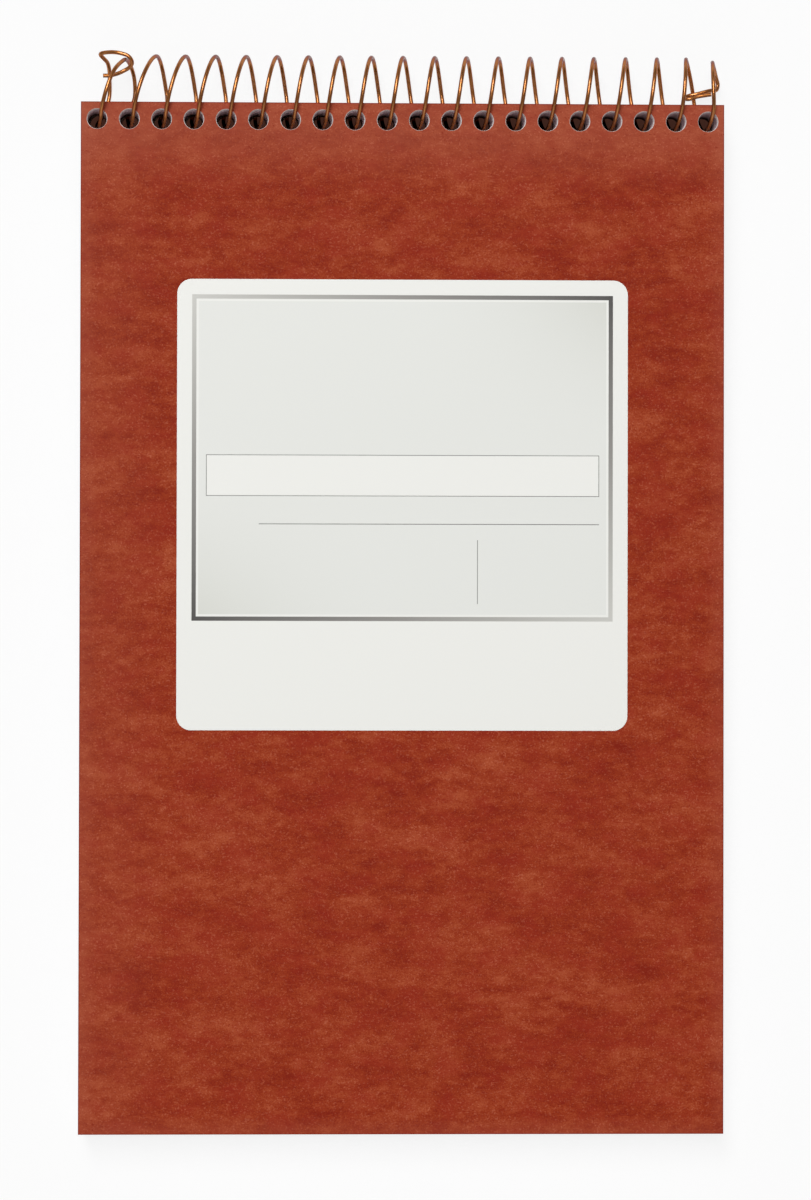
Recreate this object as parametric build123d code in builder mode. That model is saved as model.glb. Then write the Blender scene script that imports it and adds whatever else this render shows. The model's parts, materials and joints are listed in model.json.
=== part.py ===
from build123d import *
import math
import os

os.makedirs("parts", exist_ok=True)

# A top-bound writing pad that lies on a table: card front cover with a paper label,
# a block of sheets, a board back, and one wire coil through a row of punched holes.
# Millimetres. X runs along the coil, +Y towards the coil, +Z up from the table.

# Pad
pad_width = 127.0
pad_length = 203.2
cover_thickness = 0.6
page_block_thickness = 8.4
back_thickness = 1.0

# Label on the front cover
label_width = 88.9
label_height = 88.9
label_thickness = 0.1
label_corner_radius = 2.9
label_top_margin = 34.9

# Binding: row of holes and coil
hole_pitch = 6.35
least_side_margin = 3.0
wire_diameter = 0.8
coil_overhang = 2.6
coil_edge_clearance = 1.07
hole_clearance = 0.27
page_rim_width = 0.08

# Wire runs to one turn of the coil, and flats round the wire
runs_per_turn = 12
wire_sides = 12

# The loops lean towards the middle of the pad, most at its two ends: lean of the end
# loops in hole pitches, and the number of loops over which it fades
left_lean_share = 0.45
left_fade_loops = 3.4
right_lean_share = 0.11
right_fade_loops = 0.6

# Where along a loop, from its front hole to the next hole at the back, the lean grows and ends
lean_grows_shares = (0.03, 0.5)
lean_ends_shares = (0.78, 0.95)

# Bent lock at each end of the wire, and the first loop, which the left lock pulls in: distance
# along the row from the end hole in hole pitches, then outwards and upwards from the coil's axis
# in coil radii
left_lock_shares = (
    (0.14, 0.45, 0.08),
    (0.37, 0.46, 0.06),
    (0.57, 0.51, 0.03),
    (0.78, 0.60, 0.00),
    (0.95, 0.69, 0.02),
    (1.04, 0.79, 0.07),
    (1.01, 0.91, 0.13),
    (0.91, 1.00, 0.15),
    (0.77, 1.05, 0.14),
    (0.58, 1.09, 0.12),
    (0.36, 1.11, 0.06),
    (0.05, 1.07, -0.05),
    (0.15, 0.97, -0.25),
    (0.23, 0.91, -0.42),
    (0.28, 0.76, -0.65),
    (0.28, 0.50, -0.87),
    (0.26, 0.00, -1.00),
    (0.10, -0.50, -0.87),
)
first_loop_shares = (
    (0.17, -0.50, 0.87),
    (0.33, 0.00, 1.00),
    (0.54, 0.49, 0.85),
    (0.76, 0.79, 0.48),
    (0.86, 0.905, 0.00),
    (0.96, 0.82, -0.46),
    (1.06, 0.50, -0.87),
    (1.06, 0.00, -1.00),
    (0.86, -0.50, -0.87),
)
right_lock_shares = (
    (0.15, -0.50, 0.87),
    (0.13, 0.00, 1.00),
    (0.13, 0.49, 0.85),
    (0.17, 0.80, 0.48),
    (0.22, 0.92, 0.00),
    (0.32, 0.85, -0.45),
    (0.43, 0.63, -0.76),
    (0.50, 0.42, -0.88),
    (0.45, 0.29, -0.84),
    (0.27, 0.26, -0.75),
    (-0.15, 0.16, -0.71),
    (-0.51, 0.08, -0.70),
    (-0.59, 0.04, -0.65),
    (-0.53, -0.01, -0.58),
    (-0.17, 0.06, -0.57),
    (0.25, 0.12, -0.57),
)

# Sizes that follow from the ones above
wire_radius = wire_diameter / 2
pad_thickness = back_thickness + page_block_thickness + cover_thickness
half_thickness = pad_thickness / 2
coil_radius = math.hypot(coil_overhang, half_thickness) + coil_edge_clearance + wire_radius

# A turn is straight runs between corners a little outside the coil's radius, so that it keeps
# the length of the round turn
run_angle = 2 * math.pi / runs_per_turn
corner_radius = coil_radius * (run_angle / 2) / math.sin(run_angle / 2)
coil_outer_radius = corner_radius + wire_radius / math.cos(run_angle / 2)

# A hole reaches from where the wire's inner side leaves the pad's faces to the wire's outer side
# half way through the pad, and is as much wider as the wire steps sideways on its way
face_angle = math.asin(half_thickness / coil_radius)
face_reach = math.sqrt((coil_radius - wire_radius) ** 2 - half_thickness**2)
deep_reach = coil_radius + wire_radius
hole_setback = (face_reach + deep_reach) / 2 - coil_overhang
wire_side_step = hole_pitch * face_angle / (2 * math.pi)
cover_hole_radius = math.hypot(wire_side_step, (deep_reach - face_reach) / 2) + hole_clearance
page_hole_radius = cover_hole_radius - page_rim_width

hole_count = 1 + math.floor((pad_width - 2 * least_side_margin) / hole_pitch)
first_hole = -hole_pitch * (hole_count - 1) / 2
hole_line = pad_length - hole_setback

# The coil hangs lower than the back, so the pad lies on the coil and on the foot of its back
axis_along = pad_length + coil_overhang
axis_slope = math.atan2(half_thickness, axis_along)
tilt = math.asin(coil_outer_radius / math.hypot(axis_along, half_thickness)) - axis_slope
lock_reach = coil_radius * max(out for along, out, up in left_lock_shares) + wire_radius
axis_reach = axis_along * math.cos(tilt) - half_thickness * math.sin(tilt)
far_end = axis_reach + max(coil_outer_radius, lock_reach)
near_end = -pad_thickness * math.sin(tilt)
foot = -(near_end + far_end) / 2

# The back's outer face: its own x along the coil, y from the foot of the pad to the coil
back_plane = Plane(
    origin=(0, foot, 0),
    x_dir=(1, 0, 0),
    z_dir=(0, -math.sin(tilt), math.cos(tilt)),
)
page_plane = back_plane.offset(back_thickness)
cover_plane = page_plane.offset(page_block_thickness)
label_plane = cover_plane.offset(cover_thickness)


def punched_sheet(hole_radius):
    """The pad's outline with its row of round holes, in the sketch being built."""
    Rectangle(pad_width, pad_length, align=(Align.CENTER, Align.MIN))
    with Locations((0, hole_line)):
        with GridLocations(hole_pitch, hole_pitch, hole_count, 1):
            Circle(hole_radius, mode=Mode.SUBTRACT)


def smooth_step(value, start, end):
    """0 before start and 1 after end, with a smooth rise between them."""
    share = min(max((value - start) / (end - start), 0), 1)
    return share * share * (3 - 2 * share)


def loop_lean(loop):
    """Sideways lean of a loop at its top; loop 0 starts at the first hole."""
    left = left_lean_share * math.exp(-loop / left_fade_loops)
    right = right_lean_share * math.exp(-(hole_count - 2 - loop) / right_fade_loops)
    return hole_pitch * (left - right)


def wire_point(hole, angle):
    """Point of the coil, turned by angle from the middle of a hole, over the front and round."""
    along_loop = (angle - face_angle) / (2 * math.pi - 2 * face_angle)
    grown = smooth_step(along_loop, *lean_grows_shares)
    ended = smooth_step(along_loop, *lean_ends_shares)
    lean = loop_lean(hole) * grown * (1 - ended)
    return (
        first_hole + hole_pitch * (hole + angle / (2 * math.pi)) + lean,
        axis_along - corner_radius * math.cos(angle),
        half_thickness + corner_radius * math.sin(angle),
    )


def lock_points(hole, shares):
    """Points of a bent end, placed from its hole and the coil's axis."""
    start = first_hole + hole_pitch * hole
    return [
        (start + hole_pitch * along, axis_along + coil_radius * out, half_thickness + coil_radius * up)
        for along, out, up in shares
    ]


# Corners of one turn, from the one before the middle of its hole; the first three are in the hole
turn_angles = [run_angle * (step - 1) for step in range(runs_per_turn)]
hole_angles = turn_angles[:3]
coil_points = lock_points(0, left_lock_shares)
coil_points += [wire_point(0, angle) for angle in hole_angles]
coil_points += lock_points(0, first_loop_shares)
for hole in range(1, hole_count - 1):
    coil_points += [wire_point(hole, angle) for angle in turn_angles]
coil_points += [wire_point(hole_count - 1, angle) for angle in hole_angles]
coil_points += lock_points(hole_count - 1, right_lock_shares)

# Board back
with BuildPart() as back_cover:
    with BuildSketch(back_plane):
        punched_sheet(cover_hole_radius)
    extrude(amount=back_thickness)
back_cover.part.label = "back_cover"
export_step(back_cover.part, "parts/back_cover.step")

# Block of sheets, with holes a little smaller than the covers', so that a white rim shows
with BuildPart() as page_block:
    with BuildSketch(page_plane):
        punched_sheet(page_hole_radius)
    extrude(amount=page_block_thickness)
page_block.part.label = "page_block"
export_step(page_block.part, "parts/page_block.step")

# Card front cover
with BuildPart() as front_cover:
    with BuildSketch(cover_plane):
        punched_sheet(cover_hole_radius)
    extrude(amount=cover_thickness)
front_cover.part.label = "front_cover"
export_step(front_cover.part, "parts/front_cover.step")

# Paper label, in the middle of the pad's width
with BuildPart() as label:
    with BuildSketch(label_plane):
        with Locations((0, pad_length - label_top_margin)):
            RectangleRounded(
                label_width,
                label_height,
                label_corner_radius,
                align=(Align.CENTER, Align.MAX),
            )
    extrude(amount=label_thickness)
label.part.label = "label"
export_step(label.part, "parts/label.step")

# One wire, from its lock at the left end through every hole to its lock at the right end
with BuildPart() as wire_coil:
    with BuildLine(back_plane) as coil_path:
        Polyline(*coil_points)
    with BuildSketch(Plane(origin=coil_path.line @ 0, z_dir=coil_path.line % 0)):
        RegularPolygon(wire_radius, wire_sides)
    sweep(path=coil_path.line, transition=Transition.RIGHT)
wire_coil.part.label = "wire_coil"
export_step(wire_coil.part, "parts/wire_coil.step")
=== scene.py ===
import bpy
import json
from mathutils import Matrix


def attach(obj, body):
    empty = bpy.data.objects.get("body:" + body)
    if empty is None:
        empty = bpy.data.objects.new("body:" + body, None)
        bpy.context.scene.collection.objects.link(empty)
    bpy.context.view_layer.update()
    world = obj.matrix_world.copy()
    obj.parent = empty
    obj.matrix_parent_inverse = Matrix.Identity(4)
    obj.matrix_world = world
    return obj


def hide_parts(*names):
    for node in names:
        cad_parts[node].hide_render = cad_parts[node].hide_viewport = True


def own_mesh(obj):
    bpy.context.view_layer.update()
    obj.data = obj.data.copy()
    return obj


bl_info = {
    "name": "Writing pad",
    "version": (1, 0, 0),
    "blender": (4, 5, 0),
    "location": "3D View > Sidebar > Writing pad",
    "description": "Dresses a packed writing pad: card cover, label, sheets, board back and wire coil",
    "category": "Object",
}

import itertools
import json
import math

import bmesh
import bpy
import numpy as np
from bpy.props import FloatProperty, FloatVectorProperty, IntProperty, PointerProperty

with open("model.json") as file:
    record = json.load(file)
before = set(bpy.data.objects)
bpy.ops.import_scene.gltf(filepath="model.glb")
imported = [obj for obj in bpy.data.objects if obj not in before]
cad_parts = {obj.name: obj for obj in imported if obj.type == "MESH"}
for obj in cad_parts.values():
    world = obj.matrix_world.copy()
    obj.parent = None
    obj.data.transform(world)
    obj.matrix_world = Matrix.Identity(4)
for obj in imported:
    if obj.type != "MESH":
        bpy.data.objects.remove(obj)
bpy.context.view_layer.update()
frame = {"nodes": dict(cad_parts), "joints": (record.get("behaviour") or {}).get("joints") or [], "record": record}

# The pad lies on its coil and on its foot, a little out of level. Its own axes run across it,
# along it from the foot to the coil, and up out of its cover.
MOUNTS = {mount["name"]: mount for mount in frame["record"]["mounts"]}
ACROSS = np.array((1.0, 0.0, 0.0))
ALONG = -np.array(MOUNTS["lower_edge"]["axis"])
UP = np.cross(ACROSS, ALONG)
PAD_AXES = np.stack((ACROSS, ALONG, UP))
PAD_SLOPE = math.atan2(ALONG[2], ALONG[1])
COIL_AXIS = PAD_AXES @ np.array(frame["joints"][0]["pos_m"])

MILLIMETRES = 1000.0
WELD_DISTANCE = 2e-6
FLAT_SHARP_ANGLE = math.radians(10)
WIRE_SHARP_ANGLE = math.radians(60)

# Attribute that keeps each point's place at rest, so that a finish stays on its piece as it moves
REST_PLACE = "rest_place"

# Grid of a punched sheet: rings round a hole as shares of the way to its cell's outline, the most
# steps down a hole's wall, and the steps round a rounded edge
RING_SHARES = (0.0, 0.08, 0.25, 0.5, 0.75, 1.0)
HOLE_WALL_STEPS = 32
ROUND_STEPS = 3
CORNER_STEPS = 10
SHEET_SEED = 7

# Ring in the flat cut at each end of the wire, as a share of the wire's radius
CUT_RING_SHARE = 0.8

# Bent ends of the wire, and the first loop, which the left end pulls in: along the row from the end
# hole in hole pitches, then outwards and upwards from the coil's axis in loop radii
LEFT_LOCK_SHARES = (
    (0.14, 0.45, 0.08),
    (0.37, 0.46, 0.06),
    (0.57, 0.51, 0.03),
    (0.78, 0.60, 0.00),
    (0.95, 0.69, 0.02),
    (1.04, 0.79, 0.07),
    (1.01, 0.91, 0.13),
    (0.91, 1.00, 0.15),
    (0.77, 1.05, 0.14),
    (0.58, 1.09, 0.12),
    (0.36, 1.11, 0.06),
    (0.05, 1.07, -0.05),
    (0.15, 0.97, -0.25),
    (0.23, 0.91, -0.42),
    (0.28, 0.76, -0.65),
    (0.28, 0.50, -0.87),
    (0.26, 0.00, -1.00),
    (0.10, -0.50, -0.87),
)
FIRST_LOOP_SHARES = (
    (0.17, -0.50, 0.87),
    (0.33, 0.00, 1.00),
    (0.54, 0.49, 0.85),
    (0.76, 0.79, 0.48),
    (0.86, 0.905, 0.00),
    (0.96, 0.82, -0.46),
    (1.06, 0.50, -0.87),
    (1.06, 0.00, -1.00),
    (0.86, -0.50, -0.87),
)
RIGHT_LOCK_SHARES = (
    (0.15, -0.50, 0.87),
    (0.13, 0.00, 1.00),
    (0.13, 0.49, 0.85),
    (0.17, 0.80, 0.48),
    (0.22, 0.92, 0.00),
    (0.32, 0.85, -0.45),
    (0.43, 0.63, -0.76),
    (0.50, 0.42, -0.88),
    (0.45, 0.29, -0.84),
    (0.27, 0.26, -0.75),
    (-0.15, 0.16, -0.71),
    (-0.51, 0.08, -0.70),
    (-0.59, 0.04, -0.65),
    (-0.53, -0.01, -0.58),
    (-0.17, 0.06, -0.57),
    (0.25, 0.12, -0.57),
)

# Where along a loop, from its front hole to the next hole at the back, its lean grows, and where the
# leans of the loops on the left and on the right end
LEAN_GROWS_SHARES = (0.03, 0.5)
LEFT_ENDS_SHARES = (0.85, 1.0)
RIGHT_ENDS_SHARES = (0.5, 0.8)

# Turn of the wire on each side of the middle of a hole that is the same in every hole
HOLE_ANGLE = math.radians(30)
COIL_ANGLE_STEP = math.radians(15)

# Print on the label in millimetres from its middle: left, right, bottom, top
PRINT_FRAME = (-41.5, 41.5, -22.9, 41.4)
PRINT_FRAME_WIDTH = 0.85
PRINT_GAP_WIDTH = 0.45
PRINT_BOX = (-38.7, 38.8, 1.7, 9.85)
PRINT_BOX_LINE = 0.12
PRINT_RULE = (-28.3, 38.8, -3.86, -3.72)
PRINT_DIVIDER = (14.74, 14.86, -19.5, -6.9)
PRINT_SOFTNESS = 0.06

# Bands of the card in millimetres: how far a painted sheen makes it paler from its bound edge and from its left
# side, how far wear makes it paler all round, the dark line at its edges, and the pale burr round a hole
PAINTED_SHEEN_FROM_TOP = (3.0, 19.0)
PAINTED_SHEEN_FROM_LEFT = (4.0, 20.0)
PALE_ALL_ROUND = (0.3, 4.2)
DARK_EDGE_LINE = (0.13, 0.22)
BURR_WIDTHS = (0.02, 0.09)

# Ruled lines of the sheets in millimetres: distance apart, half width with its soft edge, the bare head
# of the sheet, and the depth that is still the top sheet's face
RULE_SPACING = 7.1
RULE_HALF_WIDTHS = (0.06, 0.14)
RULE_HEAD = 20.0
RULE_DEPTH = 0.02

# Where the block's paper is the wall of a hole and is painted in shade, in millimetres: inside its bound edge and
# its sides, below its upper face and above its lower face
BORE_EDGE_MARGINS = (0.9, 0.6)
BORE_SIDE_MARGINS = (0.4, 0.7)
BORE_TOP_MARGINS = (0.02, 0.1)
BORE_FOOT_MARGIN = 0.05

# Share of the main colour in the darker sheets and in the dull parts of the wire
DARK_SHEET_SHARE = 0.86
DULL_WIRE_SHARE = 0.85

# Depths in millimetres in the holes between which painted shade turns the paper and the wire dark, and how far
# below the pad the wire still does
BORE_SHADE_DEPTHS = (4.0, 7.5)
WIRE_SHADE_DEPTHS = (5.0, 7.0)
WIRE_SHADE_OVERRUN = 1.2

# Grey of the sky at some heights, from the floor's far edge to straight above
SKY_GREYS = ((0.0, 0.95), (0.02, 0.95), (0.05, 0.28), (0.35, 0.26), (0.75, 0.23), (1.0, 0.23))

# Distance inside the pad's sides over which the painted shadow on the floor under it darkens
FLOOR_SHADE_SIDES = (-0.0007, 0.0008)

# A cover rides along the wire's helix as it turns: half a pitch sideways in half a turn. The shift would be
# a very slight squeeze towards a point this far off to one side, which the script works out but does not apply.
HELIX_ANCHOR = 10.0


def srgb(*levels):
    """Linear colour of a screen colour given as three levels from 0 to 255."""
    shares = np.array(levels) / 255
    dark = shares / 12.92
    light = ((shares + 0.055) / 1.055) ** 2.4
    return tuple(np.where(shares <= 0.04045, dark, light).tolist())


def length(name, description, default):
    """A length in metres that a user may change."""
    return FloatProperty(name=name, description=description, default=default, unit="LENGTH", precision=6)


def studio_place(name, description, default):
    """A place in the studio, in metres, that a user may change."""
    return FloatVectorProperty(
        name=name, description=description, default=default, subtype="XYZ", unit="LENGTH", precision=5
    )


def colour(name, description, *levels):
    """A colour that a user may change, from its screen levels."""
    return FloatVectorProperty(
        name=name, description=description, default=srgb(*levels), subtype="COLOR", size=3, min=0, max=1
    )


class PadSizes(bpy.types.PropertyGroup):
    """Sizes of the pad's details; the main sizes come from the frame."""

    hole_count: IntProperty(name="Holes", description="Punched holes in the row", default=20, min=2)
    hole_steps: IntProperty(name="Hole steps", description="Grid steps to a side of a hole", default=12)
    sheet_steps: IntProperty(name="Sheet hole steps", description="The same in the sheets", default=8)
    rows: IntProperty(name="Rows", description="Grid rows below the holes", default=20)
    card_rounding: length("Card rounding", "Rounding of the cover's cut edges", 0.00007)
    board_rounding: length("Board rounding", "Rounding of the board's cut edges", 0.00012)
    sheet_count: IntProperty(name="Sheets", description="Sheets in the block", default=80, min=2)
    sheet_inset: length("Sheet inset", "How far the sheets lie inside the covers' edges", 0.0001)
    sheet_groove: length("Sheet groove", "Depth of the groove between two sheets", 0.00004)
    sheet_spread: length("Sheet spread", "How unevenly the sheets lie on each other", 0.00003)
    hole_drift: length("Hole drift", "How far the holes of the lowest sheet lie to the left", 0.0005)
    label_corner: length("Label corner", "Radius of the label's corners", 0.0029)
    label_rounding: length("Label rounding", "Rounding of the label's cut edge", 0.00003)


class CoilSizes(bpy.types.PropertyGroup):
    """Sizes of the wire coil, and how far its loops lean sideways."""

    wire_diameter: length("Wire", "Diameter of the wire", 0.0008)
    loop_radius: length("Loop radius", "Radius of a loop at the middle of its wire", 0.0071056)
    left_lean: FloatProperty(name="Left lean", description="First loop's lean, in pitches", default=0.45)
    left_fade: FloatProperty(name="Left fade", description="Loops over which it fades", default=3.4)
    right_lean: FloatProperty(name="Right lean", description="Last whole loop's lean", default=0.11)
    right_fade: FloatProperty(name="Right fade", description="Loops over which it fades", default=0.6)
    path_step: length("Path step", "Distance between rings of the wire", 0.00035)
    wire_sides: IntProperty(name="Wire sides", description="Points round the wire", default=14, min=6)


class PadColours(bpy.types.PropertyGroup):
    """Colours of the pad's finishes."""

    card_dark: colour("Card, dark", "Dark clouds of the pressed card", 130, 28, 4)
    card: colour("Card", "Main colour of the pressed card", 150, 50, 17)
    card_light: colour("Card, light", "Light clouds of the pressed card", 170, 76, 43)
    card_crimson: colour("Card, crimson", "Patches where the dye is redder", 149, 37, 19)
    # Paler card: wear near its edges, and a painted sheen towards its bound edge and left side
    card_worn_and_sheen: colour("Card, worn", "Card near its edges", 170, 86, 62)
    fibre: colour("Card fibre", "Pale fibres in the card", 196, 108, 80)
    label_white: colour("Label", "Paper of the label", 237, 237, 232)
    panel: colour("Panel", "Printed panel of the label", 228, 229, 224)
    panel_dark: colour("Panel, dark", "Panel beside the dark corners of its frame", 212, 213, 205)
    frame_light: colour("Frame, light", "Light corners of the printed frame", 200, 199, 193)
    frame_middle: colour("Frame, middle", "Frame half way between its corners", 140, 137, 132)
    frame_dark: colour("Frame, dark", "Dark corners of the printed frame", 50, 46, 42)
    ink: colour("Ink", "Printed lines of the label", 84, 82, 78)
    paper: colour("Paper", "Sheets of the block", 232, 232, 234)
    # Paper in the holes is painted shade: a darker, pinker copy of the paper, then the deep painted shade
    bore: colour("Paper, bore", "Paper in the punched holes", 226, 207, 212)
    bore_shade: colour("Paper, deep bore", "Paper deep in the punched holes", 70, 46, 40)
    rule_ink: colour("Rule", "Ruled lines of the sheets", 152, 178, 204)
    board_dark: colour("Board, dark", "Dark spots of the board", 112, 98, 82)
    board: colour("Board", "Main colour of the board", 138, 124, 106)
    board_light: colour("Board, light", "Light fibres of the board", 168, 154, 134)
    copper: FloatVectorProperty(
        name="Copper", description="Copper-coloured wire", default=(0.47, 0.172, 0.045), subtype="COLOR"
    )
    copper_edge: colour("Copper, edge", "Wire seen at a slant", 130, 88, 52)
    # Painted shade of the wire deep in the punched holes
    copper_painted_shade: colour("Copper, deep", "Wire deep in the punched holes", 46, 26, 18)
    floor: colour("Floor", "Studio floor", 245, 245, 245)
    # Painted shadow on the floor under the pad
    floor_shade: colour("Floor, covered", "Floor deep under the pad", 66, 40, 32)


class StageSizes(bpy.types.PropertyGroup):
    """Camera and light of the studio."""

    camera_place: studio_place("Camera", "Place of the camera", (-0.01653, -0.01824, 0.70015))
    camera_turn: FloatVectorProperty(
        name="Camera turn",
        description="Turn of the camera from straight down",
        default=(math.radians(1.352), math.radians(-1.4286), math.radians(0.093)),
        subtype="EULER",
    )
    lens: FloatProperty(name="Lens", description="Focal length in millimetres", default=104.93)
    key_place: studio_place("Key light", "Place of the key light", (-0.35, 0.95, 2.5))
    key_width: length("Key width", "Short side of the key light", 0.8)
    key_length: length("Key length", "Long side of the key light, which points at the coil", 2.0)
    key_power: FloatProperty(name="Key power", description="Power of the key light, watts", default=54.0)
    fill_place: studio_place("Fill light", "Place of the fill light", (-0.2, -2.4, 1.3))
    fill_size: length("Fill size", "Side of the square fill light", 2.5)
    fill_power: FloatProperty(name="Fill power", description="The same of the fill light", default=14.0)
    floor_reach: length("Floor reach", "Half width of the floor", 40.0)
    floor_glow: FloatProperty(name="Floor glow", description="White share of the seen floor", default=0.8)


class WritingPad(bpy.types.PropertyGroup):
    """All settings of the writing pad."""

    sizes: PointerProperty(type=PadSizes)
    coil: PointerProperty(type=CoilSizes)
    colours: PointerProperty(type=PadColours)
    stage: PointerProperty(type=StageSizes)


# Shapes


def node_points(node):
    """Corner points of a CAD node in metres along the pad's axes: across, along and up."""
    mesh = frame["nodes"][node].data
    points = np.empty(3 * len(mesh.vertices), dtype=np.float32)
    mesh.vertices.foreach_get("co", points)
    return points.reshape(-1, 3).astype(float) @ PAD_AXES.T


class Skin:
    """Grid patches in metres along the pad's axes, welded into one closed piece."""

    def __init__(self):
        self.points = []
        self.faces = []
        self.count = 0

    def add(self, grid, closed=False):
        """Adds a grid of points, rows by columns; closed joins its last column to its first."""
        rows, columns = grid.shape[:2]
        numbers = self.count + np.arange(rows * columns).reshape(rows, columns)
        if closed:
            numbers = np.concatenate((numbers, numbers[:, :1]), axis=1)
        corners = (numbers[:-1, :-1], numbers[:-1, 1:], numbers[1:, 1:], numbers[1:, :-1])
        self.points.append(grid.reshape(-1, 3))
        self.faces.append(np.stack(corners, axis=-1).reshape(-1, 4))
        self.count += rows * columns

    def piece(self, name, material, sharp_angle=FLAT_SHARP_ANGLE):
        """Makes the object: places its points in the frame, welds them and turns its faces outwards."""
        points = np.concatenate(self.points) @ PAD_AXES
        faces = np.concatenate(self.faces)
        mesh = bpy.data.meshes.new(name)
        mesh.vertices.add(len(points))
        mesh.vertices.foreach_set("co", points.ravel())
        mesh.loops.add(faces.size)
        mesh.loops.foreach_set("vertex_index", faces.ravel())
        mesh.polygons.add(len(faces))
        mesh.polygons.foreach_set("loop_start", np.arange(0, faces.size, 4))
        mesh.update(calc_edges=True)
        welded = bmesh.new()
        welded.from_mesh(mesh)
        bmesh.ops.remove_doubles(welded, verts=welded.verts, dist=WELD_DISTANCE)
        bmesh.ops.recalc_face_normals(welded, faces=welded.faces)
        welded.to_mesh(mesh)
        welded.free()
        places = np.empty(3 * len(mesh.vertices), dtype=np.float32)
        mesh.vertices.foreach_get("co", places)
        mesh.attributes.new(REST_PLACE, "FLOAT_VECTOR", "POINT").data.foreach_set("vector", places)
        mesh.polygons.foreach_set("use_smooth", np.ones(len(mesh.polygons), dtype=bool))
        mesh.set_sharp_from_angle(angle=sharp_angle)
        mesh.materials.append(material)
        piece = bpy.data.objects.new(name, mesh)
        bpy.context.scene.collection.objects.link(piece)
        return piece


def raised(flat, heights):
    """Points of the pad's plane with their heights as third coordinate."""
    return np.concatenate((flat, np.broadcast_to(heights, flat.shape[:-1])[..., None]), axis=-1)


def square_outline(steps):
    """Points round a square of half width 1, anticlockwise from its lower left, steps to a side."""
    run = np.linspace(-1, 1, steps, endpoint=False)
    side = np.ones(steps)
    lower = np.stack((run, -side), axis=1)
    right = np.stack((side, run), axis=1)
    return np.concatenate((lower, right, -lower, -right))


def rounded_outline(half_width, half_height, radius):
    """Points round a rectangle with rounded corners: four quarter circles, anticlockwise."""
    starts = np.arange(4)[:, None] * math.pi / 2
    turns = starts + np.linspace(0, math.pi / 2, CORNER_STEPS + 1)
    sides = np.sign(np.stack((np.cos(starts + math.pi / 4), np.sin(starts + math.pi / 4)), axis=-1))
    corners = sides * (half_width - radius, half_height - radius)
    return (corners + radius * np.stack((np.cos(turns), np.sin(turns)), axis=-1)).reshape(-1, 2)


def rounded_profile(low, high, radius):
    """Heights and insets of a cut edge from top to bottom: two quarter circles and a straight side."""
    turn = np.linspace(0, math.pi / 2, ROUND_STEPS + 1)
    insets = radius * (1 - np.sin(turn))
    drops = radius * (1 - np.cos(turn))
    heights = np.concatenate((high - drops, (low + drops)[::-1]))
    return heights, np.concatenate((insets, insets[::-1]))


class PunchedSheet:
    """A CAD sheet with a row of round holes, measured along the pad's axes, and the grids on it."""

    def __init__(self, node, hole_count, steps, rows):
        points = node_points(node)
        self.low = points.min(axis=0)
        self.high = points.max(axis=0)
        inner_low = (points > self.low + WELD_DISTANCE)[:, :2].all(axis=1)
        inner_high = (points < self.high - WELD_DISTANCE)[:, :2].all(axis=1)
        rims = points[inner_low & inner_high]
        self.pitch = (self.high[0] - self.low[0]) / hole_count
        self.hole_line = (rims[:, 1].min() + rims[:, 1].max()) / 2
        beside = (rims[:, 0] - self.low[0]) % self.pitch - self.pitch / 2
        self.hole_radius = np.hypot(beside, rims[:, 1] - self.hole_line).max()
        across = self.low[0] + self.pitch * (np.arange(hole_count) + 0.5)
        self.centres = np.stack((across, np.full(hole_count, self.hole_line)), axis=1)
        setback = self.high[1] - self.hole_line
        self.cell = square_outline(steps) * (self.pitch / 2, setback)
        self.directions = self.cell / np.linalg.norm(self.cell, axis=1)[:, None]
        self.columns = np.linspace(self.low[0], self.high[0], hole_count * steps + 1)
        self.rows = np.linspace(self.low[1], self.hole_line - setback, rows + 1)
        self.hole_rows = self.hole_line + setback * np.linspace(-1, 1, steps + 1)

    def border(self):
        """Points of the grid round the sheet's outline, anticlockwise from its lower left corner."""
        side = np.concatenate((self.rows[:-1], self.hole_rows))
        lower = np.stack(np.broadcast_arrays(self.columns[:-1], self.low[1]), axis=1)
        right = np.stack(np.broadcast_arrays(self.high[0], side[:-1]), axis=1)
        upper = np.stack(np.broadcast_arrays(self.columns[:0:-1], self.high[1]), axis=1)
        left = np.stack(np.broadcast_arrays(self.low[0], side[:0:-1]), axis=1)
        return np.concatenate((lower, right, upper, left))

    def pulled_in(self, points, insets):
        """Points of the sheet's plane moved inside its outline by an inset, corners kept square."""
        return np.clip(points, self.low[:2] + insets, self.high[:2] - insets)

    def skin(self, heights, edge_insets, hole_insets, shifts, drifts):
        """Closed skin: at each height of a profile from top to bottom, the outline pulled in by the
        edge inset and the holes widened by the hole inset, both moved by the shift, and the holes
        further to the left by the drift. A hole's wall skips heights where the profile has many."""
        skin = Skin()
        moves = shifts[:, None, :]
        outline = self.pulled_in(self.border(), edge_insets[:, None, None]) + moves
        skin.add(raised(outline, heights[:, None]), closed=True)
        rims = self.directions * (self.hole_radius + hole_insets[:, None, None])
        rims[..., 0] -= drifts[:, None]
        shares = np.array(RING_SHARES)[:, None, None]
        rectangle = np.stack(np.meshgrid(self.columns, self.rows), axis=-1)
        for level in (0, -1):
            inset, shift, height = edge_insets[level], shifts[level], heights[level]
            skin.add(raised(self.pulled_in(rectangle, inset) + shift, height))
            rings = rims[level] * (1 - shares) + self.cell * shares
            for centre in self.centres:
                skin.add(raised(self.pulled_in(rings + centre, inset) + shift, height), closed=True)
        last = len(heights) - 1
        steps = np.linspace(0, last, min(last, HOLE_WALL_STEPS) + 1).round().astype(int)
        for centre in self.centres:
            skin.add(raised((rims + centre + moves)[steps], heights[steps, None]), closed=True)
        return skin


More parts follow.
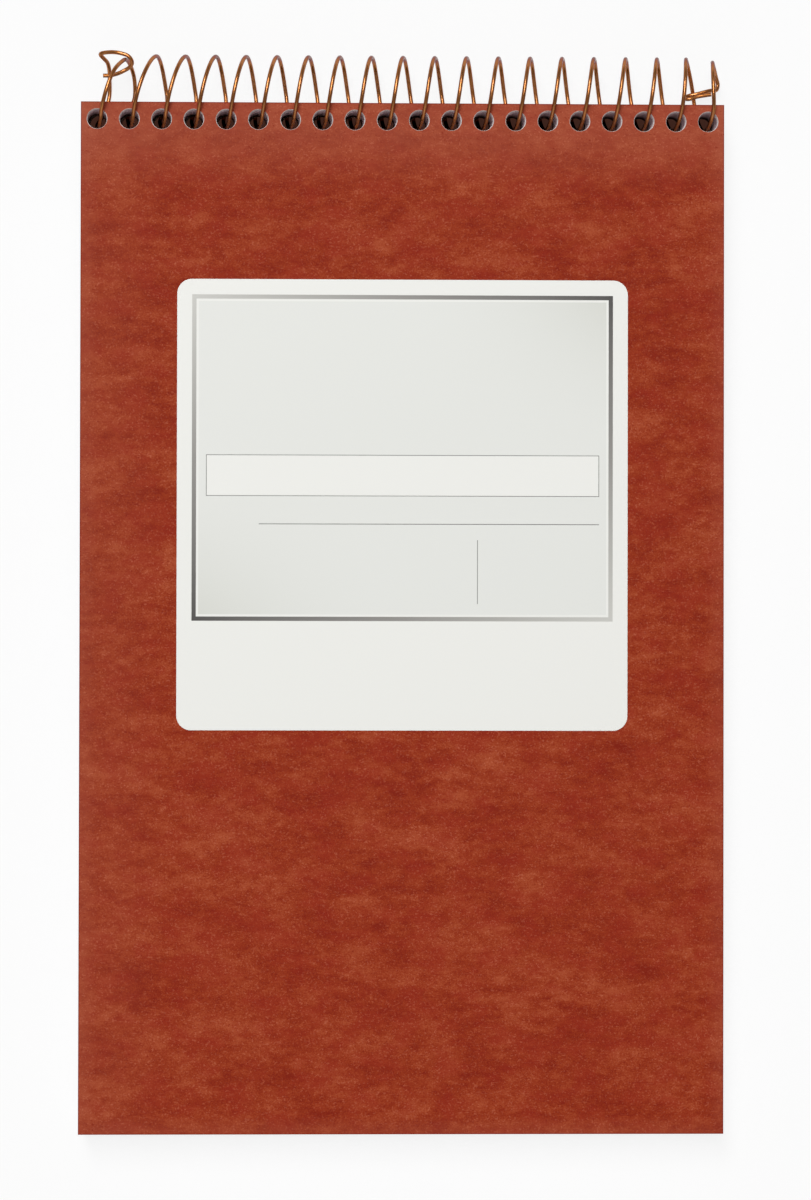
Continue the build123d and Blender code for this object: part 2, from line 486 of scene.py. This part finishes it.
def punched_card(node, name, material, rounding, sizes):
    """A stiff sheet that replaces a CAD node: its holes and outline with rounded cut edges."""
    sheet = PunchedSheet(node, sizes.hole_count, sizes.hole_steps, sizes.rows)
    heights, insets = rounded_profile(sheet.low[2], sheet.high[2], rounding)
    shifts = np.zeros((len(heights), 2))
    return sheet.skin(heights, insets, insets, shifts, shifts[:, 0]).piece(name, material)


def hole_pitch(sizes):
    """Distance between the middles of two punched holes."""
    return PunchedSheet("page_block", sizes.hole_count, 2, 1).pitch


def sheet_profile(sheet, sizes):
    """Profile of the block from top to bottom: each sheet a crest between two grooves, moved a little
    by chance; a groove lies half way between the two sheets beside it. The punch drifted, so that the
    holes lie further to the left in each lower sheet."""
    count = sizes.sheet_count
    heights = np.linspace(sheet.high[2], sheet.low[2], 2 * count + 1)
    grooves = sizes.sheet_groove * (np.arange(2 * count + 1) % 2 == 0)
    chance = np.random.default_rng(SHEET_SEED).normal(0, sizes.sheet_spread, (count, 2))
    beside = np.concatenate((chance[:1], chance, chance[-1:]))
    shifts = np.empty((2 * count + 1, 2))
    shifts[0::2] = (beside[:-1] + beside[1:]) / 2
    shifts[1::2] = chance
    drifts = np.linspace(0, sizes.hole_drift, 2 * count + 1)
    return heights, sizes.sheet_inset + grooves, grooves / 2, shifts, drifts


def label_skin(low, high, corner, rounding):
    """A thin sheet with round corners: rounded outlines down its edge, and rings that shrink to its
    middle on both faces."""
    skin = Skin()
    heights, insets = rounded_profile(low[2], high[2], rounding)
    middle = (low[:2] + high[:2]) / 2
    half = (high[:2] - low[:2]) / 2
    outlines = np.stack([rounded_outline(*(half - inset), corner - inset) for inset in insets])
    skin.add(raised(outlines + middle, heights[:, None]), closed=True)
    shares = np.linspace(1, 0, len(RING_SHARES))[:, None, None]
    for level in (0, -1):
        skin.add(raised(outlines[level] * shares + middle, heights[level]), closed=True)
    return skin


def smooth_step(values, start, end):
    """0 before start and 1 after end, with a smooth rise between them."""
    shares = np.clip((values - start) / (end - start), 0, 1)
    return shares * shares * (3 - 2 * shares)


def helix_points(coil, pitch, hole_count, start, end):
    """Points of the helix round the coil's axis, from one angle to another: it starts in the middle of
    the first hole and goes over the front, and a loop's lean grows from its front hole to its top and
    ends at the back."""
    half_thickness = COIL_AXIS[2] - node_points("back_cover")[:, 2].min()
    face_angle = math.asin(half_thickness / coil.loop_radius)
    turn = 2 * math.pi
    angles = np.arange(start, end + COIL_ANGLE_STEP / 2, COIL_ANGLE_STEP)
    loops = np.floor(angles / turn)
    shares = (angles - turn * loops - face_angle) / (turn - 2 * face_angle)
    left = coil.left_lean * np.exp(-loops / coil.left_fade)
    left = left * (1 - smooth_step(shares, *LEFT_ENDS_SHARES))
    right = coil.right_lean * np.exp(-(hole_count - 2 - loops) / coil.right_fade)
    right = right * (1 - smooth_step(shares, *RIGHT_ENDS_SHARES))
    across = pitch * (angles / turn + (left - right) * smooth_step(shares, *LEAN_GROWS_SHARES))
    outwards = -coil.loop_radius * np.cos(angles)
    return np.stack((across, outwards, coil.loop_radius * np.sin(angles)), axis=1)


def coil_points(coil, pitch, hole_count):
    """Points the wire goes through: a bent lock, the first hole and loop, the helix, the other lock."""
    units = (pitch, coil.loop_radius, coil.loop_radius)
    last_hole = pitch * (hole_count - 1)
    turn = 2 * math.pi
    last_turn = turn * (hole_count - 1)
    runs = (
        np.array(LEFT_LOCK_SHARES) * units,
        helix_points(coil, pitch, hole_count, -HOLE_ANGLE, HOLE_ANGLE),
        np.array(FIRST_LOOP_SHARES) * units,
        helix_points(coil, pitch, hole_count, turn - HOLE_ANGLE, last_turn + HOLE_ANGLE),
        np.array(RIGHT_LOCK_SHARES) * units + (last_hole, 0, 0),
    )
    return np.concatenate(runs) + (-last_hole / 2, COIL_AXIS[1], COIL_AXIS[2])


def smooth_path(points, step):
    """A smooth line through points, sampled at about one step: a cubic on each run, whose slope at
    a point is the mean of the slopes of the runs beside it, the shorter run counting more."""
    runs = np.diff(points, axis=0)
    lengths = np.linalg.norm(runs, axis=1)
    slopes = runs / lengths[:, None]
    before, after = lengths[:-1, None], lengths[1:, None]
    inner = (slopes[:-1] * after + slopes[1:] * before) / (before + after)
    tangents = np.concatenate((slopes[:1], inner, slopes[-1:]))
    ends = np.concatenate(([0.0], np.cumsum(lengths)))
    places = np.linspace(0, ends[-1], math.ceil(ends[-1] / step) + 1)
    run = np.clip(np.searchsorted(ends, places, side="right") - 1, 0, len(lengths) - 1)
    reach = lengths[run][:, None]
    share = (places - ends[run])[:, None] / reach
    rest = 1 - share
    return (
        points[run] * (1 + 2 * share) * rest**2
        + points[run + 1] * (1 + 2 * rest) * share**2
        + reach * share * rest * (tangents[run] * rest - tangents[run + 1] * share)
    )


def carry_normal(normal, tangent):
    """The normal turned only as far as the path turns, so that a tube along it has no twist."""
    turned = normal - tangent * (normal @ tangent)
    return turned / np.linalg.norm(turned)


def tube_skin(path, radius, sides):
    """A round wire along a path: a circle across it at each point, closed by a flat cut at each end."""
    tangents = np.gradient(path, axis=0)
    tangents /= np.linalg.norm(tangents, axis=1)[:, None]
    start = np.array((0.0, 0.0, 1.0))
    normals = np.array(list(itertools.accumulate(tangents, carry_normal, initial=start))[1:])
    turns = np.linspace(0, 2 * math.pi, sides, endpoint=False)[:, None]
    circles = np.cos(turns) * normals[:, None] + np.sin(turns) * np.cross(tangents, normals)[:, None]
    last = len(path) - 1
    stations = np.concatenate(([0, 0], np.arange(len(path)), [last, last]))
    shares = np.concatenate(([0.0, CUT_RING_SHARE], np.ones(len(path)), [CUT_RING_SHARE, 0.0]))
    skin = Skin()
    skin.add(path[stations][:, None] + radius * shares[:, None, None] * circles[stations], closed=True)
    return skin


# Finishes


class Flow:
    """One output of a node: + - * and abs on it add Math nodes, and node() adds any other node."""

    def __init__(self, tree, socket=None):
        self.tree = tree
        self.socket = socket

    def node(self, kind, output, settings=None, inputs=None):
        """Adds a node, sets its settings and then the value or link of each input; gives one output."""
        made = self.tree.nodes.new(kind)
        for name, value in (settings or {}).items():
            if name == "stops":
                self.set_stops(made.color_ramp.elements, value)
            else:
                setattr(made, name, value)
        for name, value in (inputs or {}).items():
            if isinstance(value, Flow):
                self.tree.links.new(value.socket, made.inputs[name])
            else:
                made.inputs[name].default_value = value
        return None if output is None else Flow(self.tree, made.outputs[output])

    @staticmethod
    def set_stops(elements, stops):
        """Gives a colour ramp its stops: places from 0 to 1, each with a colour."""
        elements.remove(elements[-1])
        for place, shade in stops:
            element = elements[0] if place == stops[0][0] else elements.new(place)
            element.position = place
            element.color = (*shade, 1)

    def math(self, operation, *values, clamp=False):
        """A Math node on numbers or flows."""
        settings = {"operation": operation, "use_clamp": clamp}
        return self.node("ShaderNodeMath", 0, settings, dict(enumerate(values)))

    def __add__(self, other):
        return self.math("ADD", self, other)

    __radd__ = __add__

    def __sub__(self, other):
        return self.math("SUBTRACT", self, other)

    def __rsub__(self, other):
        return self.math("SUBTRACT", other, self)

    def __mul__(self, other):
        return self.math("MULTIPLY", self, other)

    def __abs__(self):
        return self.math("ABSOLUTE", self)

    def parts(self):
        """The three numbers of a vector."""
        first = self.node("ShaderNodeSeparateXYZ", 0, None, {0: self})
        return [Flow(self.tree, socket) for socket in first.socket.node.outputs]

    def smooth(self, start, end):
        """0 before start and 1 after end, with a smooth rise between them."""
        settings = {"interpolation_type": "SMOOTHSTEP"}
        inputs = {"Value": self, "From Min": start, "From Max": end}
        return self.node("ShaderNodeMapRange", 0, settings, inputs)

    def ramp(self, *stops):
        """Colour of this number on a ramp."""
        return self.node("ShaderNodeValToRGB", 0, {"stops": stops}, {0: self})

    def mix(self, low, high):
        """Colour between two colours, by this share."""
        low, high = (shade if isinstance(shade, Flow) else (*shade, 1) for shade in (low, high))
        return self.node("ShaderNodeMix", 2, {"data_type": "RGBA"}, {0: self, 6: low, 7: high})

    def noise(self, size, detail, roughness=0.5, turn=0.0):
        """Soft random spots of a size in millimetres across, along and up, turned on the pad."""
        scale = tuple(1 / extent for extent in size)
        turned = self
        if turn:
            inputs = {"Vector": self, "Rotation": (0, 0, turn)}
            turned = self.node("ShaderNodeMapping", 0, None, inputs)
        scaled = self.node("ShaderNodeMapping", 0, None, {"Vector": turned, "Scale": scale})
        inputs = {"Vector": scaled, "Scale": 1.0, "Detail": detail, "Roughness": roughness}
        return self.node("ShaderNodeTexNoise", 0, None, inputs)

    def bump(self, height, strength):
        """Normal of a surface that this number lifts by up to a height in metres."""
        inputs = {"Height": self, "Distance": height, "Strength": strength}
        return self.node("ShaderNodeBump", 0, None, inputs)


def open_finish(name):
    """An empty material, and a flow to add nodes to it."""
    material = bpy.data.materials.new(name)
    material.use_nodes = True
    material.node_tree.nodes.clear()
    return material, Flow(material.node_tree)


def new_finish(name, centre=(0.0, 0.0, 0.0)):
    """A material and the place on the pad, in millimetres across, along and up from a centre."""
    material, start = open_finish(name)
    here = start.node("ShaderNodeAttribute", "Vector", {"attribute_name": REST_PLACE})
    inputs = {
        "Vector": here,
        "Location": tuple(-MILLIMETRES * np.array(centre)),
        "Rotation": (-PAD_SLOPE, 0, 0),
        "Scale": (MILLIMETRES,) * 3,
    }
    return material, here.node("ShaderNodeMapping", 0, None, inputs)


def close_finish(flow, **inputs):
    """Ends a material in one shader; a socket's name has _ for each space."""
    sockets = {name.replace("_", " "): value for name, value in inputs.items()}
    shader = flow.node("ShaderNodeBsdfPrincipled", 0, None, sockets)
    flow.node("ShaderNodeOutputMaterial", None, None, {"Surface": shader})


def field(across, along, box):
    """1 inside a box given as left, right, bottom and top in millimetres, 0 outside it."""
    left, right, bottom, top = box
    beside = (right - left) / 2 - abs(across - (left + right) / 2)
    above = (top - bottom) / 2 - abs(along - (bottom + top) / 2)
    sharpness = 1 / PRINT_SOFTNESS
    inside = [side.math("MULTIPLY_ADD", side, sharpness, 0.5, clamp=True) for side in (beside, above)]
    return inside[0] * inside[1]


def shrunk(box, inset):
    """A box with each side moved in by an inset."""
    left, right, bottom, top = box
    return left + inset, right - inset, bottom + inset, top - inset


def card_finish(colours, sheet):
    """Pressed card: long clouds of dark and light red, pale fibres, fine grain, paler from wear all round its
    edges and from a painted sheen towards its bound edge and left side, with a dark line round it and a pale burr
    round each punched hole."""
    centre = (sheet.centres[0, 0], sheet.hole_line, 0)
    material, place = new_finish("pressed_card", centre)
    across, along = place.parts()[:2]
    clouds = place.noise((11.0, 5.0, 8.0), 5, 0.6)
    blotches = place.noise((2.6, 1.5, 2.0), 3, 0.6)
    grain = place.noise((0.34, 0.28, 0.3), 2, 0.6)
    dye = place.noise((6.0, 4.0, 5.0), 3).smooth(0.42, 0.68)
    fibres = place.noise((1.5, 0.17, 1.0), 1).smooth(0.66, 0.78)
    cross_fibres = place.noise((1.3, 0.17, 1.0), 1, turn=1.25).smooth(0.68, 0.78)
    specks = place.noise((0.4, 0.34, 0.4), 1).smooth(0.58, 0.72)
    pits = place.noise((0.45, 0.36, 0.5), 1, turn=0.4).smooth(0.64, 0.76)
    tone = clouds * 0.4 + blotches * 0.28 + grain * 0.32
    body = tone.ramp((0.39, colours.card_dark), (0.505, colours.card), (0.62, colours.card_light))
    body = (dye * 0.45).mix(body, colours.card_crimson)
    low, high = (MILLIMETRES * (corner - centre) for corner in (sheet.low, sheet.high))
    top = high[1] - along
    left = across - low[0]
    sides = along.math("MINIMUM", along - low[1], across.math("MINIMUM", left, high[0] - across))
    # Painted sheen makes the card paler towards its bound edge and left side; wear makes it paler all round near
    # its edges
    wear_and_sheen = (1 - top.smooth(*PAINTED_SHEEN_FROM_TOP)) * 0.5 + (1 - left.smooth(*PAINTED_SHEEN_FROM_LEFT)) * 0.14
    wear_and_sheen = wear_and_sheen + (1 - sides.smooth(*PALE_ALL_ROUND)) * 0.22
    body = (wear_and_sheen * (blotches + 0.5)).mix(body, colours.card_worn_and_sheen)
    threads = fibres * 0.25 + cross_fibres * 0.22 + specks * (clouds * 0.7)
    body = threads.mix(body, colours.fibre)
    body = (pits * 0.6).mix(body, colours.card_dark)
    # Darker along the card's edges
    cut = 1 - along.math("MINIMUM", top, sides).smooth(*DARK_EDGE_LINE)
    body = (cut * 0.8).mix(body, colours.card_dark)
    pitch = MILLIMETRES * sheet.pitch
    beside = across.math("WRAP", across, pitch / 2, -pitch / 2)
    from_hole = across.math("SQRT", beside * beside + along * along)
    rim = MILLIMETRES * sheet.hole_radius
    burr = (1 - from_hole.smooth(*(rim + width for width in BURR_WIDTHS))) * 0.7
    relief = grain * 0.5 + fibres * 0.3 + blotches * 0.4
    close_finish(
        place,
        Base_Color=burr.mix(body, colours.label_white),
        Roughness=0.55 + grain * 0.2,
        Specular_IOR_Level=0.12,
        Normal=relief.bump(0.00004, 0.6),
    )
    return material


def label_finish(colours, middle):
    """Printed label: a frame of grey that changes from corner to corner, a pale panel, a white box for
    a name, and thin rules, on white satin paper."""
    material, place = new_finish("printed_label", middle)
    across, along = place.parts()[:2]
    left, right, bottom, top = PRINT_FRAME
    slope = (across - (left + right) / 2) * (along - (bottom + top) / 2)
    slope = slope * (4 / ((right - left) * (top - bottom)))
    frame_tone = (slope * 0.5 + 0.5).ramp(
        (0.0, colours.frame_light), (0.5, colours.frame_middle), (1.0, colours.frame_dark)
    )
    corner = slope.math("MAXIMUM", slope, 0.0)
    panel = (corner * corner).mix(colours.panel, colours.panel_dark)
    inner = shrunk(PRINT_FRAME, PRINT_FRAME_WIDTH)
    paper = field(across, along, PRINT_FRAME).mix(colours.label_white, frame_tone)
    paper = field(across, along, inner).mix(paper, colours.label_white)
    paper = field(across, along, shrunk(inner, PRINT_GAP_WIDTH)).mix(paper, panel)
    paper = field(across, along, PRINT_BOX).mix(paper, colours.ink)
    paper = field(across, along, shrunk(PRINT_BOX, PRINT_BOX_LINE)).mix(paper, colours.label_white)
    for line in (PRINT_RULE, PRINT_DIVIDER):
        paper = field(across, along, line).mix(paper, colours.ink)
    pulp = place.noise((0.6, 0.5, 0.5), 3)
    close_finish(
        place,
        Base_Color=paper,
        Roughness=0.4 + pulp * 0.12,
        Normal=pulp.bump(0.00001, 0.4),
    )
    return material


def sheets_finish(colours, sheet):
    """White paper: each sheet's edge a little lighter or darker, pale ruled lines on the top sheet, and
    painted shade in the punched holes, darker with depth."""
    centre = (0, sheet.high[1], sheet.high[2])
    material, place = new_finish("sheet_paper", centre)
    across, along, up = place.parts()
    layers = place.noise((4000.0, 4000.0, 0.11), 1)
    pulp = place.noise((0.7, 0.7, 0.7), 3)
    shade = (layers * 0.7 + pulp * 0.3).smooth(0.3, 0.7)
    dark = tuple(DARK_SHEET_SHARE * level for level in colours.paper)
    paper = shade.mix(dark, colours.paper)
    beside = abs(along.math("WRAP", along, RULE_SPACING / 2, -RULE_SPACING / 2))
    on_sheet = along.math("LESS_THAN", along, -RULE_HEAD) * up.math("GREATER_THAN", up, -RULE_DEPTH)
    rule = (1 - beside.smooth(*RULE_HALF_WIDTHS)) * on_sheet
    paper = (rule * 0.8).mix(paper, colours.rule_ink)
    to_hole = MILLIMETRES * (sheet.high[1] - sheet.hole_line)
    in_row = 1 - abs(along + to_hole).smooth(*(to_hole - margin for margin in BORE_EDGE_MARGINS))
    in_hole = in_row * (MILLIMETRES * sheet.high[0] - abs(across)).smooth(*BORE_SIDE_MARGINS)
    lowest = BORE_FOOT_MARGIN + MILLIMETRES * (sheet.low[2] - sheet.high[2])
    inside = (0 - up).smooth(*BORE_TOP_MARGINS) * up.math("GREATER_THAN", up, lowest)
    # Painted shade on the walls of the holes, darker with depth
    bore = (0 - up).smooth(*BORE_SHADE_DEPTHS).mix(colours.bore, colours.bore_shade)
    close_finish(
        place,
        Base_Color=(in_hole * inside).mix(paper, bore),
        Roughness=0.75 + pulp * 0.1,
        Normal=pulp.bump(0.00001, 0.4),
    )
    return material


def board_finish(colours):
    """Grey board: recycled pulp with dark and light flecks and a rough face."""
    material, place = new_finish("grey_board")
    clouds = place.noise((7.0, 7.0, 2.0), 4, 0.6)
    flecks = place.noise((0.5, 0.4, 0.2), 3, 0.65)
    fibres = place.noise((1.6, 0.2, 0.3), 1, turn=0.5).smooth(0.62, 0.74)
    tone = clouds * 0.45 + flecks * 0.55
    body = tone.ramp((0.34, colours.board_dark), (0.5, colours.board), (0.66, colours.board_light))
    close_finish(
        place,
        Base_Color=(fibres * 0.5).mix(body, colours.board_light),
        Roughness=0.75 + flecks * 0.15,
        Normal=(flecks + fibres * 0.4).bump(0.00005, 0.6),
    )
    return material


def wire_finish(colours, low, high):
    """Drawn wire with a copper-coloured coat: bright metal, with faint scuffs that dull it, and painted shade,
    dark and without the coat, deep in the holes of a pad between two corners."""
    material, place = new_finish("copper_wire", high)
    along, up = place.parts()[1:]
    scuffs = place.noise((6.0, 6.0, 6.0), 2)
    dull = tuple(DULL_WIRE_SHARE * level for level in colours.copper)
    coat = scuffs.smooth(0.35, 0.65).mix(dull, colours.copper)
    lowest = MILLIMETRES * (low - high)[2] - WIRE_SHADE_OVERRUN
    in_pad = along.math("LESS_THAN", along, 0.0) * up.math("GREATER_THAN", up, lowest)
    # Painted shade: the wire turns dark and loses its coat deep in the holes
    deep = (0 - up).smooth(*WIRE_SHADE_DEPTHS) * in_pad
    close_finish(
        place,
        Base_Color=deep.mix(coat, colours.copper_painted_shade),
        Metallic=1.0,
        Roughness=0.24 + scuffs * 0.08,
        Specular_Tint=(*colours.copper_edge, 1),
        Coat_Weight=0.5 - deep * 0.5,
        Coat_Roughness=0.1,
    )
    return material


def floor_finish(colours, glow):
    """Matt floor that the camera and reflections see nearly white; the object's shadow stays on it, and
    a painted shadow makes it dark under the pad, less so near the pad's sides."""
    material, start = open_finish("studio_floor")
    place = start.node("ShaderNodeTexCoord", "Object")
    seen = place.node("ShaderNodeLightPath", "Is Camera Ray")
    rays = seen.socket.node.outputs
    for ray in ("Is Glossy Ray", "Is Transmission Ray"):
        seen = seen + Flow(place.tree, rays[ray])
    across, along = place.parts()[:2]
    sheet = node_points("back_cover")
    low, high = sheet.min(axis=0), sheet.max(axis=0)
    beside = (high[0] - low[0]) / 2 - abs(across - (low[0] + high[0]) / 2)
    below = (high[1] - low[1]) / 2 - abs(along - (low[1] + high[1]) / 2)
    # Painted shadow under the pad, fading out near its sides
    under = beside.smooth(*FLOOR_SHADE_SIDES) * below.math("GREATER_THAN", below, 0.0)
    shade = under.mix(colours.floor, colours.floor_shade)
    matt = place.node("ShaderNodeBsdfDiffuse", 0, None, {"Color": shade})
    # Glow of the seen floor: white, with the painted shadow under the pad
    white = under.mix((1, 1, 1), colours.floor_shade)
    light = place.node("ShaderNodeEmission", 0, None, {"Color": white})
    share = seen.math("MULTIPLY", seen, glow, clamp=True)
    surface = place.node("ShaderNodeMixShader", 0, None, {0: share, 1: matt, 2: light})
    place.node("ShaderNodeOutputMaterial", None, None, {"Surface": surface})
    return material


# Operators


def place_piece(piece, body, node):
    """Says which body a piece moves with and which CAD node it replaces."""
    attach(piece, body)
    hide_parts(node)


def follow_helix(piece, pitch):
    """Gives a cover its own copy of its mesh; the squeeze that would move it sideways along the wire as it turns
    is worked out but not applied.
    """
    keep = 1 - pitch / 2 / HELIX_ANCHOR
    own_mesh(piece)


class WRITING_PAD_OT_front_cover(bpy.types.Operator):
    """Make the punched card cover"""

    bl_idname = "writing_pad.front_cover"
    bl_label = "Front cover"

    def execute(self, context):
        pad = context.scene.writing_pad
        sheet = PunchedSheet("front_cover", pad.sizes.hole_count, pad.sizes.hole_steps, pad.sizes.rows)
        material = card_finish(pad.colours, sheet)
        piece = punched_card("front_cover", "cover_card", material, pad.sizes.card_rounding, pad.sizes)
        place_piece(piece, "front_cover", "front_cover")
        follow_helix(piece, hole_pitch(pad.sizes))
        return {"FINISHED"}


class WRITING_PAD_OT_label(bpy.types.Operator):
    """Make the printed label on the front cover"""

    bl_idname = "writing_pad.label"
    bl_label = "Label"

    def execute(self, context):
        pad = context.scene.writing_pad
        points = node_points("label")
        low, high = points.min(axis=0), points.max(axis=0)
        material = label_finish(pad.colours, (low + high) / 2)
        skin = label_skin(low, high, pad.sizes.label_corner, pad.sizes.label_rounding)
        piece = skin.piece("cover_label", material)
        place_piece(piece, "front_cover", "label")
        follow_helix(piece, hole_pitch(pad.sizes))
        return {"FINISHED"}


class WRITING_PAD_OT_page_block(bpy.types.Operator):
    """Make the block of sheets"""

    bl_idname = "writing_pad.page_block"
    bl_label = "Sheets"

    def execute(self, context):
        pad = context.scene.writing_pad
        sheet = PunchedSheet("page_block", pad.sizes.hole_count, pad.sizes.sheet_steps, pad.sizes.rows)
        skin = sheet.skin(*sheet_profile(sheet, pad.sizes))
        piece = skin.piece("page_sheets", sheets_finish(pad.colours, sheet))
        place_piece(piece, "pad", "page_block")
        return {"FINISHED"}


class WRITING_PAD_OT_back_cover(bpy.types.Operator):
    """Make the punched board back"""

    bl_idname = "writing_pad.back_cover"
    bl_label = "Board back"

    def execute(self, context):
        pad = context.scene.writing_pad
        material = board_finish(pad.colours)
        piece = punched_card("back_cover", "back_board", material, pad.sizes.board_rounding, pad.sizes)
        place_piece(piece, "back_cover", "back_cover")
        follow_helix(piece, hole_pitch(pad.sizes))
        return {"FINISHED"}


class WRITING_PAD_OT_wire_coil(bpy.types.Operator):
    """Make the wire coil with its bent ends"""

    bl_idname = "writing_pad.wire_coil"
    bl_label = "Wire coil"

    def execute(self, context):
        pad = context.scene.writing_pad
        coil = pad.coil
        points = coil_points(coil, hole_pitch(pad.sizes), pad.sizes.hole_count)
        path = smooth_path(points, coil.path_step)
        skin = tube_skin(path, coil.wire_diameter / 2, coil.wire_sides)
        low, high = node_points("back_cover").min(axis=0), node_points("front_cover").max(axis=0)
        material = wire_finish(pad.colours, low, high)
        piece = skin.piece("binding_wire", material, WIRE_SHARP_ANGLE)
        place_piece(piece, "pad", "wire_coil")
        return {"FINISHED"}


class WRITING_PAD_OT_stage(bpy.types.Operator):
    """Make the floor, light and camera"""

    bl_idname = "writing_pad.stage"
    bl_label = "Stage"

    def execute(self, context):
        scene = context.scene
        stage = scene.writing_pad.stage
        self.make_floor(scene, stage)
        self.make_light(scene, stage)
        camera = bpy.data.objects.new("camera", bpy.data.cameras.new("camera"))
        camera.location = stage.camera_place
        camera.rotation_euler = stage.camera_turn
        camera.data.lens = stage.lens
        scene.collection.objects.link(camera)
        scene.camera = camera
        scene.view_settings.view_transform = "Standard"
        return {"FINISHED"}

    def make_floor(self, scene, stage):
        """A wide flat floor under the pad."""
        corners = square_outline(1) * stage.floor_reach
        mesh = bpy.data.meshes.new("studio_floor")
        mesh.from_pydata(raised(corners, np.zeros(len(corners))).tolist(), [], [range(len(corners))])
        mesh.materials.append(floor_finish(scene.writing_pad.colours, stage.floor_glow))
        floor = bpy.data.objects.new("studio_floor", mesh)
        scene.collection.objects.link(floor)

    def make_lamp(self, scene, name, spot, width, reach, power):
        """A flat lamp that faces the pad; its reach is its side that runs towards the pad."""
        lamp = bpy.data.lights.new(name, "AREA")
        lamp.shape = "RECTANGLE"
        lamp.size = width
        lamp.size_y = reach
        lamp.energy = power
        holder = bpy.data.objects.new(name, lamp)
        holder.location = spot
        holder.rotation_euler = (-holder.location).to_track_quat("-Z", "Y").to_euler()
        scene.collection.objects.link(holder)

    def make_light(self, scene, stage):
        """A soft key light from behind the coil, a weak fill from the foot, and a grey sky that is dimmer
        above and white where it meets the floor."""
        key = stage.key_place, stage.key_width, stage.key_length, stage.key_power
        self.make_lamp(scene, "key_light", *key)
        fill = stage.fill_place, stage.fill_size, stage.fill_size, stage.fill_power
        self.make_lamp(scene, "fill_light", *fill)
        world = bpy.data.worlds.new("studio")
        world.use_nodes = True
        world.node_tree.nodes.clear()
        scene.world = world
        direction = Flow(world.node_tree).node("ShaderNodeTexCoord", "Generated")
        height = direction.parts()[2]
        sky = height.ramp(*((level, (grey,) * 3) for level, grey in SKY_GREYS))
        background = sky.node("ShaderNodeBackground", 0, None, {"Color": sky, "Strength": 1.0})
        sky.node("ShaderNodeOutputWorld", None, None, {"Surface": background})


class WRITING_PAD_PT_panel(bpy.types.Panel):
    """Lists the pieces of the writing pad"""

    bl_idname = "WRITING_PAD_PT_panel"
    bl_label = "Writing pad"
    bl_space_type = "VIEW_3D"
    bl_region_type = "UI"
    bl_category = "Writing pad"

    def draw(self, context):
        for operator in OPERATORS:
            self.layout.operator(operator.bl_idname)


OPERATORS = (
    WRITING_PAD_OT_front_cover,
    WRITING_PAD_OT_label,
    WRITING_PAD_OT_page_block,
    WRITING_PAD_OT_back_cover,
    WRITING_PAD_OT_wire_coil,
    WRITING_PAD_OT_stage,
)
CLASSES = (PadSizes, CoilSizes, PadColours, StageSizes, WritingPad, *OPERATORS, WRITING_PAD_PT_panel)


def register():
    for made in CLASSES:
        bpy.utils.register_class(made)
    bpy.types.Scene.writing_pad = PointerProperty(type=WritingPad)


def unregister():
    del bpy.types.Scene.writing_pad
    for made in reversed(CLASSES):
        bpy.utils.unregister_class(made)


def main():
    register()
    bpy.ops.writing_pad.front_cover()
    bpy.ops.writing_pad.label()
    bpy.ops.writing_pad.page_block()
    bpy.ops.writing_pad.back_cover()
    bpy.ops.writing_pad.wire_coil()
    bpy.ops.writing_pad.stage()


if __name__ == "__main__":
    main()
